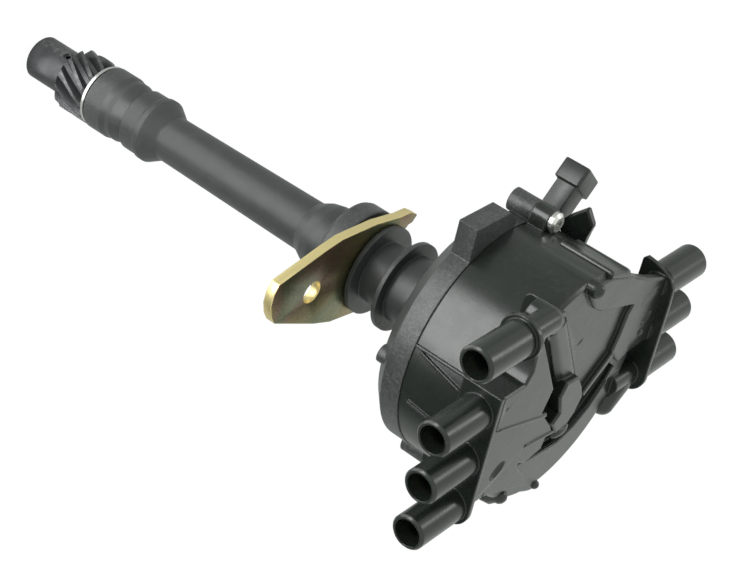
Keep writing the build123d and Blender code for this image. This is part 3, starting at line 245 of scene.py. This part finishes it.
# ---------------------------------------------------------------- materials by slot
MATERIALS = {
    "housing_cast": coated(
        "m_housing", dark=(0.025, 0.027, 0.0265), light=(0.034, 0.0365, 0.036), wear=(0.12, 0.12, 0.12),
        rough=(0.33, 0.44), grain=2600.0, grain_depth=0.03 * MM, specular=0.42, cloud=110.0, speck=2200.0,
        round_edges=0.8 * MM),
    "cap_plastic": coated(
        "m_cap", dark=(0.007, 0.0098, 0.008), light=(0.0105, 0.0148, 0.0122), wear=(0.04, 0.042, 0.04),
        rough=(0.24, 0.3), grain=1500.0, grain_depth=0.01 * MM, wear_share=0.3, round_edges=1.0 * MM),
    "black_plastic": coated(
        "m_connector", dark=(0.009, 0.0105, 0.0095), light=(0.014, 0.0165, 0.015), wear=(0.07, 0.07, 0.07),
        rough=(0.3, 0.4), grain=1700.0, grain_depth=0.02 * MM, round_edges=0.5 * MM),
    "rotor_plastic": coated(
        "m_rotor", dark=(0.06, 0.03, 0.02), light=(0.13, 0.065, 0.04), wear=(0.2, 0.13, 0.1),
        rough=(0.4, 0.55), grain=800.0, grain_depth=0.05 * MM),
    "fibre": coated(
        "m_fibre", dark=(0.03, 0.03, 0.03), light=(0.06, 0.058, 0.055), wear=(0.1, 0.1, 0.1),
        rough=(0.7, 0.9), grain=1200.0, grain_depth=0.1 * MM),
    "seal_rubber": coated(
        "m_rubber", dark=(0.012, 0.012, 0.012), light=(0.03, 0.03, 0.03), wear=(0.05, 0.05, 0.05),
        rough=(0.6, 0.8), grain=900.0, grain_depth=0.05 * MM),
    "carbon": coated(
        "m_carbon", dark=(0.015, 0.015, 0.016), light=(0.035, 0.035, 0.037), wear=(0.08, 0.08, 0.08),
        rough=(0.45, 0.6), grain=1500.0, grain_depth=0.05 * MM),
    "gear_iron": coated(
        "m_gear", dark=(0.05, 0.05, 0.053), light=(0.11, 0.11, 0.115), wear=(0.3, 0.29, 0.28),
        rough=(0.26, 0.45), grain=1100.0, grain_depth=0.07 * MM, metallic=0.8),
    # The bright gold on the bracket's upright sides is a painted highlight.
    "yellow_zinc": plated(
        "m_zinc", edge=(0.72, 0.6, 0.29), rough=(0.3, 0.44), round_edges=0.5 * MM,
        tints=((0.2, 0.17, 0.075), (0.14, 0.155, 0.08), (0.23, 0.19, 0.085), (0.24, 0.155, 0.105),
               (0.165, 0.17, 0.09))),
    "bright_steel": machined(
        "m_bright_steel", dark=(0.55, 0.54, 0.52), light=(0.75, 0.74, 0.72), rough=(0.2, 0.34),
        turning=2400.0, depth=0.03 * MM),
    "shaft_steel": machined(
        "m_shaft", dark=(0.3, 0.28, 0.26), light=(0.46, 0.44, 0.4), rough=(0.2, 0.36),
        turning=2200.0, depth=0.03 * MM),
    "dark_steel": machined(
        "m_dark_steel", dark=(0.12, 0.12, 0.125), light=(0.22, 0.22, 0.23), rough=(0.25, 0.42),
        turning=1500.0, depth=0.04 * MM),
    "bronze": machined(
        "m_bronze", dark=(0.4, 0.25, 0.12), light=(0.6, 0.42, 0.22), rough=(0.3, 0.45),
        turning=1200.0, depth=0.05 * MM),
    "brass": machined(
        "m_brass", dark=(0.2, 0.17, 0.11), light=(0.34, 0.3, 0.21), rough=(0.3, 0.45),
        turning=1600.0, depth=0.03 * MM),
}
for node in NODES.values():
    for holder in node.material_slots:
        slot = holder.material.name.split(".")[0] if holder.material else None
        if slot in MATERIALS:
            holder.material = MATERIALS[slot]

# ---------------------------------------------------------------- making pieces
SHARP_ANGLE = math.radians(38)
BEVEL_ANGLE = math.radians(30)
RING_SIDES = 20
DOME_STEPS = (0.4, 0.75, 0.97)    # shares of the radius at which a tube's domed end has a ring
NEARLY_UPRIGHT = 0.9              # Z of a direction over which X serves to square its rings
WELD = 0.001 * MM
ACROSS_X, ACROSS_Z = "x", "z"


def shade(mesh):
    """Smooth shading that keeps the sharp edges."""
    mesh.shade_smooth()
    mesh.set_sharp_from_angle(angle=SHARP_ANGLE)


def mesh_object(name, bm):
    """New object from a bmesh, which is used up."""
    mesh = bpy.data.meshes.new(name)
    bm.to_mesh(mesh)
    bm.free()
    piece = bpy.data.objects.new(name, mesh)
    bpy.context.scene.collection.objects.link(piece)
    return piece


def build_object(name, builder):
    """Closed object from a builder that works in mm."""
    bm = bmesh.new()
    builder(bm)
    bmesh.ops.recalc_face_normals(bm, faces=bm.faces)
    bmesh.ops.scale(bm, vec=(MM, MM, MM), verts=bm.verts)
    return mesh_object(name, bm)


def cap_piece(name, builder):
    """Added form of the cap's plastic that rides on the distributor."""
    piece = build_object(name, builder)
    piece.data.materials.append(MATERIALS["cap_plastic"])
    shade(piece.data)
    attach(piece, "distributor")


def tube(bm, path):
    """Round closed tube along points of x, y, z and radius, with domed ends."""
    points = [Vector(p[:3]) for p in path]
    radii = [p[3] for p in path]
    start = (points[1] - points[0]).normalized()
    end = (points[-1] - points[-2]).normalized()
    stations = [(points[0] - start * radii[0] * k, radii[0] * math.sqrt(1 - k * k), start)
                for k in reversed(DOME_STEPS)]
    for i, (point, radius) in enumerate(zip(points, radii)):
        before = points[max(i - 1, 0)]
        after = points[min(i + 1, len(points) - 1)]
        stations.append((point, radius, (after - before).normalized()))
    stations += [(points[-1] + end * radii[-1] * k, radii[-1] * math.sqrt(1 - k * k), end) for k in DOME_STEPS]
    turns = [2 * math.pi * k / RING_SIDES for k in range(RING_SIDES)]
    rings = []
    for centre, radius, along in stations:
        helper = Vector((1, 0, 0)) if abs(along.z) >= NEARLY_UPRIGHT else Vector((0, 0, 1))
        side = along.cross(helper).normalized()
        up = side.cross(along)
        rings.append([bm.verts.new(centre + (side * math.cos(t) + up * math.sin(t)) * radius) for t in turns])
    for low, high in zip(rings, rings[1:]):
        for k in range(RING_SIDES):
            bm.faces.new((low[k], low[k - 1], high[k - 1], high[k]))
    bm.faces.new(rings[0])
    bm.faces.new(reversed(rings[-1]))


def ellipsoid(bm, centre, half, turn=0.0):
    """Closed ellipsoid with three half sizes, turned about Z by degrees."""
    turned = Matrix.Rotation(math.radians(turn), 4, "Z")
    place = Matrix.Translation(centre) @ turned @ Matrix.Diagonal((*half, 1.0))
    bmesh.ops.create_uvsphere(bm, u_segments=28, v_segments=16, radius=1.0, matrix=place)


def prism(bm, outline, across, low, high):
    """Closed prism: an outline of (y, z) across X, or of (x, y) across Z, between two levels."""
    def point(a, b, level):
        return (level, a, b) if across == ACROSS_X else (a, b, level)

    ends = [[bm.verts.new(point(a, b, level)) for a, b in outline] for level in (low, high)]
    for k in range(len(outline)):
        bm.faces.new((ends[0][k], ends[0][k - 1], ends[1][k - 1], ends[1][k]))
    bm.faces.new(ends[0])
    bm.faces.new(reversed(ends[1]))


def welded_copy(node):
    """Copy of a CAD node's mesh with its seams welded and its own shading dropped."""
    source = NODES[node]
    bm = bmesh.new()
    bm.from_mesh(source.data)
    bmesh.ops.remove_doubles(bm, verts=bm.verts, dist=WELD)
    piece = mesh_object(node + "_moulded", bm)
    shading = piece.data.attributes.get("custom_normal")
    if shading:
        piece.data.attributes.remove(shading)
    piece.data.materials.clear()
    piece.data.materials.append(source.material_slots[0].material)
    return piece


def bake(piece):
    """Applies the piece's modifiers to its mesh."""
    evaluated = piece.evaluated_get(bpy.context.evaluated_depsgraph_get())
    mesh = bpy.data.meshes.new_from_object(evaluated)
    piece.modifiers.clear()
    piece.data = mesh
    shade(mesh)


def cut(piece, cutter):
    """Takes the cutter's volume out of the piece and deletes the cutter."""
    modifier = piece.modifiers.new("cut", "BOOLEAN")
    modifier.operation = "DIFFERENCE"
    modifier.solver = "EXACT"
    modifier.object = cutter
    bake(piece)
    bpy.data.objects.remove(cutter)


def bevel(piece, width, segments):
    """Rounds the piece's sharp edges."""
    modifier = piece.modifiers.new("rounding", "BEVEL")
    modifier.width = width
    modifier.segments = segments
    modifier.limit_method = "ANGLE"
    modifier.angle_limit = BEVEL_ANGLE
    bake(piece)


# ---------------------------------------------------------------- nodes of the frame with finer shapes
SINK_MARKS = [                    # of the moulding: centre, half sizes, turn in degrees
    ((-55.7, -13.2, 123.6), (3.9, 2.4, 1.7), 43.0),
    ((51.2, 14.2, 128.2), (5.4, 3.3, 2.0), 32.0),
    ((57.2, 24.2, 128.0), (1.6, 0.6, 0.5), 60.0),
    ((59.6, -22.6, 128.9), (1.5, 0.7, 0.5), 20.0),
    ((-3.0, -22.5, 121.1), (2.2, 0.7, 0.4), 30.0),
]
RIGHT_DUCTS = [(-63.9, -33.0), (-42.6, -33.0), (-42.6, 5.0), (-63.9, 5.0)]                      # x, y
RIGHT_DUCTS_LEVELS = (123.35, 131.0)          # z, from just over the right duct block
UNDER_ELBOW = [(-68.0, 95.0), (-68.0, 121.0), (-57.2, 119.6), (-44.0, 108.0), (-44.0, 95.0)]    # y, z
UNDER_ELBOW_SIDES = (36.0, 56.0)              # x


def sink_marks(bm):
    for centre, half, turn in SINK_MARKS:
        ellipsoid(bm, centre, half, turn)


def cap_trims(bm):
    """What goes from the cap: what stands over the right block, and the foot of the coil tower's elbow."""
    prism(bm, RIGHT_DUCTS, ACROSS_Z, *RIGHT_DUCTS_LEVELS)
    prism(bm, UNDER_ELBOW, ACROSS_X, *UNDER_ELBOW_SIDES)


cap = welded_copy("distributor_cap")
cut(cap, build_object("sink_marks", sink_marks))
cut(cap, build_object("cap_trims", cap_trims))
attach(cap, "distributor")
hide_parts("distributor_cap")

connector = welded_copy("sensor_connector")
bevel(connector, 1.1 * MM, 3)
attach(connector, "distributor")
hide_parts("sensor_connector")

bracket = welded_copy("hold_down_bracket")
bevel(bracket, 0.5 * MM, 2)
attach(bracket, "distributor")
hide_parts("hold_down_bracket")

# ---------------------------------------------------------------- added forms of the cap
CAP_R = 55.5                      # outside radius of the cap wall
GUARD = [(-37.5, 80.0), (-37.5, 91.4), (-43.5, 92.0), (-50.3, 93.4), (-56.8, 88.6), (-49.0, 81.0),
         (-44.0, 77.6)]           # y, z
GUARD_SIDES = (-43.6, -40.0)      # x
PAD_SECTION = [                   # azimuth in degrees and lift off the wall across the pad, 0 at its border
    (-118.4, 0.0), (-118.2, 0.7), (-117.8, 1.2), (-117.2, 1.4), (-115.4, 1.4), (-114.9, 1.2), (-114.6, 0.9),
    (-108.0, 0.7), (-103.0, 0.7), (-102.4, 1.0), (-101.6, 1.2), (-100.8, 1.0), (-100.4, 0.5), (-100.3, 0.0),
]
PAD_LEVELS = [                    # z and the share of the lift that the pad has there, 0 at its border
    (95.0, 0.0), (95.3, 0.0), (96.0, 1.0), (121.0, 1.0), (122.2, 0.8), (122.8, 0.2), (123.0, 0.0),
]
PAD_SUNK = 0.4                    # how far the pad's border lies inside the wall
PAD_BACK = 0.975                  # the pad's back, as a share of its border's radius


def rim_bead(bm):
    """Bead along the step between the sunken area and the cap's rim."""
    tube(bm, [(31.6, 26.2, 124.0, 0.5), (15.4, 28.6, 124.0, 0.8), (-3.0, 30.2, 124.0, 0.9),
              (-14.3, 26.6, 124.0, 0.9), (-23.9, 20.8, 124.0, 0.8), (-33.5, 10.9, 124.0, 0.6)])


def recess_end(bm):
    """Rounded end of the sunken area."""
    ellipsoid(bm, (-2.6, 23.0, 123.6), (6.5, 2.6, 2.6), 4.0)


def block_creases(bm):
    """Beads along two steps of the left duct block."""
    tube(bm, [(60.0, -12.2, 128.1, 1.0), (48.5, -8.8, 128.0, 1.2), (38.2, -5.8, 127.9, 1.3),
              (28.5, -2.9, 127.8, 1.4), (24.6, -1.8, 127.7, 1.4)])
    tube(bm, [(32.4, 10.9, 127.1, 1.2), (24.0, 12.1, 127.1, 1.3), (17.0, 13.1, 127.1, 1.3),
              (11.5, 13.9, 127.1, 1.3)])


def edge_lobes(bm):
    """Two bosses that swell out of the wall up to the cap's far edge."""
    tube(bm, [(24.5, 46.6, 103.0, 3.2), (24.8, 47.2, 108.0, 5.2), (25.2, 48.0, 114.0, 6.2),
              (25.2, 48.0, 117.5, 5.6), (25.2, 48.0, 119.6, 3.6)])
    tube(bm, [(-2.8, 55.2, 106.0, 2.4), (-2.8, 55.8, 111.0, 3.8), (-2.8, 56.2, 116.0, 4.3),
              (-2.8, 56.2, 119.2, 3.6), (-2.8, 56.2, 120.6, 2.2)])


def connector_guard(bm):
    """Angular dark plate beside the connector's neck."""
    prism(bm, GUARD, ACROSS_X, *GUARD_SIDES)
    bmesh.ops.bevel(bm, geom=bm.edges[:], offset=0.6, segments=2, affect="EDGES")


def block_bump(bm):
    """Small bump beside the largest sink mark of the right block."""
    ellipsoid(bm, (-54.3, -6.1, 123.2), (1.9, 1.9, 1.1))


def wall_pad(bm):
    """Raised pad on the cap wall, closed at the back inside the wall."""
    rows = []
    for level, share in PAD_LEVELS:
        row = []
        for azimuth, lift in PAD_SECTION:
            raised = lift * share
            radius = CAP_R + (raised if raised else -PAD_SUNK)
            turn = math.radians(azimuth)
            row.append(bm.verts.new((radius * math.cos(turn), radius * math.sin(turn), level)))
        rows.append(row)
    for low, high in zip(rows, rows[1:]):
        for k in range(len(PAD_SECTION) - 1):
            bm.faces.new((low[k], low[k + 1], high[k + 1], high[k]))
    bottom, top = [[bm.verts.new((v.co.x * PAD_BACK, v.co.y * PAD_BACK, v.co.z)) for v in (row[0], row[-1])]
                   for row in (rows[0], rows[-1])]
    bm.faces.new((*rows[0], bottom[1], bottom[0]))
    bm.faces.new((*rows[-1], top[1], top[0]))
    bm.faces.new((*[row[0] for row in rows], top[0], bottom[0]))
    bm.faces.new((*[row[-1] for row in rows], top[1], bottom[1]))
    bm.faces.new((*bottom, *reversed(top)))


cap_piece("rim_bead", rim_bead)
cap_piece("recess_end", recess_end)
cap_piece("block_creases", block_creases)
cap_piece("edge_lobes", edge_lobes)
cap_piece("connector_guard", connector_guard)
cap_piece("block_bump", block_bump)
cap_piece("wall_pad", wall_pad)

# ---------------------------------------------------------------- floor and world
FLOOR_Z = CAD_BOX[0].z - 2 * MM
FLOOR_SIZE = 9.0
FLOOR_CLOUD_SCALE = 3.0
PALE = ((0.56, 0.57, 0.57), (0.6, 0.61, 0.61))
FAR_SIDE = (0.8, 0.6, 0.0)        # the side of the floor that is painted dark, as painted shade for an unlit side of the studio
FAR_ACROSS = (-0.72, 0.96, 0.0)
FAR_FADE = (0.08, 0.32)           # metres into that side over which the painted shade on the floor deepens
# Colour of the painted shade on the floor's far side.
FAR_PAINTED_SHADE = (0.12, 0.12, 0.12)
GLOW_STRENGTH = 1.03              # what the camera sees of the floor is mostly an even white
GLOW_SHARE = 0.94
SKY = (0.955, 1.0, 0.955, 1.0)    # light from all round, faintly green
WHITE = (1.0, 1.0, 1.0, 1.0)


def floor_material():
    """Pale floor with a wedge of painted shade on the far side, which shows only in reflections."""
    graph = Graph("m_floor")
    graph.shader.inputs["Roughness"].default_value = 0.9
    pale = graph.ramp(graph.noise(FLOOR_CLOUD_SCALE, detail=2.0), list(zip(NOISE_BAND, PALE)))
    sideways = graph.math("ABSOLUTE", graph.along(FAR_ACROSS))
    # Painted shade: the floor's colour darkens towards the far side.
    painted_shade = graph.span(graph.math("SUBTRACT", graph.along(FAR_SIDE), sideways), *FAR_FADE)
    graph.colour(graph.mix(painted_shade, pale, FAR_PAINTED_SHADE))
    path = graph.add("ShaderNodeLightPath")
    glow = graph.add("ShaderNodeEmission")
    glow.inputs["Strength"].default_value = GLOW_STRENGTH
    blend = graph.add("ShaderNodeMixShader")
    graph.join(graph.math("MULTIPLY", path.outputs["Is Camera Ray"], GLOW_SHARE), blend.inputs["Fac"])
    graph.join(graph.shader.outputs["BSDF"], blend.inputs[1])
    graph.join(glow.outputs["Emission"], blend.inputs[2])
    graph.join(blend.outputs["Shader"], graph.output.inputs["Surface"])
    return graph.material


def studio_world():
    """Even light from all round, seen by the camera as plain white."""
    world = bpy.data.worlds.new("studio")
    world.use_nodes = True
    tree = world.node_tree
    sky = tree.nodes["Background"]
    sky.inputs["Color"].default_value = SKY
    sky.inputs["Strength"].default_value = 1.0
    white = tree.nodes.new("ShaderNodeBackground")
    white.inputs["Color"].default_value = WHITE
    path = tree.nodes.new("ShaderNodeLightPath")
    blend = tree.nodes.new("ShaderNodeMixShader")
    tree.links.new(path.outputs["Is Camera Ray"], blend.inputs["Fac"])
    tree.links.new(sky.outputs["Background"], blend.inputs[1])
    tree.links.new(white.outputs["Background"], blend.inputs[2])
    tree.links.new(blend.outputs["Shader"], tree.nodes["World Output"].inputs["Surface"])
    return world


bpy.ops.mesh.primitive_plane_add(size=FLOOR_SIZE, location=(0, 0, FLOOR_Z))
floor = bpy.context.object
floor.name = "floor"
floor.data.materials.append(floor_material())
bpy.context.scene.world = studio_world()


# ---------------------------------------------------------------- lamps and camera
def lamp(name, toward, distance, size, power, aim):
    """Soft box of a width and height that stands in a direction from its aim and faces it."""
    data = bpy.data.lights.new(name, "AREA")
    data.shape = "RECTANGLE"
    data.size, data.size_y = size
    data.energy = power
    box = bpy.data.objects.new(name, data)
    bpy.context.scene.collection.objects.link(box)
    away = Vector(toward).normalized()
    box.location = Vector(aim) + away * distance
    box.rotation_mode = "QUATERNION"
    box.rotation_quaternion = away.to_track_quat("Z", "Y")
    box.visible_camera = False


# The broad highlight on the cap wall.
lamp("wall_panel", toward=(0.77, -0.46, -0.40), distance=0.55, size=(0.62, 0.2), power=3.4,
     aim=(0.045, -0.032, 0.09))
# The long highlights on the towers.
lamp("tower_strip", toward=(-0.698, -0.405, 0.591), distance=1.2, size=(0.5, 0.13), power=1.3,
     aim=(0.075, -0.03, 0.12))
# A faint sheen on the cap's deck.
lamp("deck_card", toward=(-0.70, 0.5, 0.5), distance=1.2, size=(0.8, 0.8), power=0.15, aim=(0.0, 0.0, 0.12))
# A card just over the floor, which lights the underside of the stem.
lamp("stem_card", toward=(0.0, 0.0, -1.0), distance=0.1, size=(0.3, 0.3), power=0.65, aim=(0.17, -0.14, -0.099))

RIGHT = Vector((-0.6302714, -0.18710015, 0.75349287))     # the picture's axes, solved from the photograph
DOWN = Vector((0.34077729, 0.80536752, 0.48502989))
FORWARD = Vector((-0.69758784, 0.56247372, -0.44384064))
CAMERA_PLACE = (0.595284, -0.465322, 0.393478)
FOCAL_PIXELS = 1906.53
PICTURE_WIDTH = 730
SENSOR_WIDTH = 36.0               # mm

camera_data = bpy.data.cameras.new("camera")
camera_data.sensor_width = SENSOR_WIDTH
camera_data.lens = FOCAL_PIXELS / PICTURE_WIDTH * SENSOR_WIDTH
camera_data.clip_start = 0.01
camera = bpy.data.objects.new("camera", camera_data)
bpy.context.scene.collection.objects.link(camera)
turn = Matrix((RIGHT, -DOWN, -FORWARD)).transposed()
camera.matrix_world = Matrix.Translation(CAMERA_PLACE) @ turn.to_4x4()
bpy.context.scene.camera = camera
bpy.context.scene.view_settings.view_transform = "Standard"
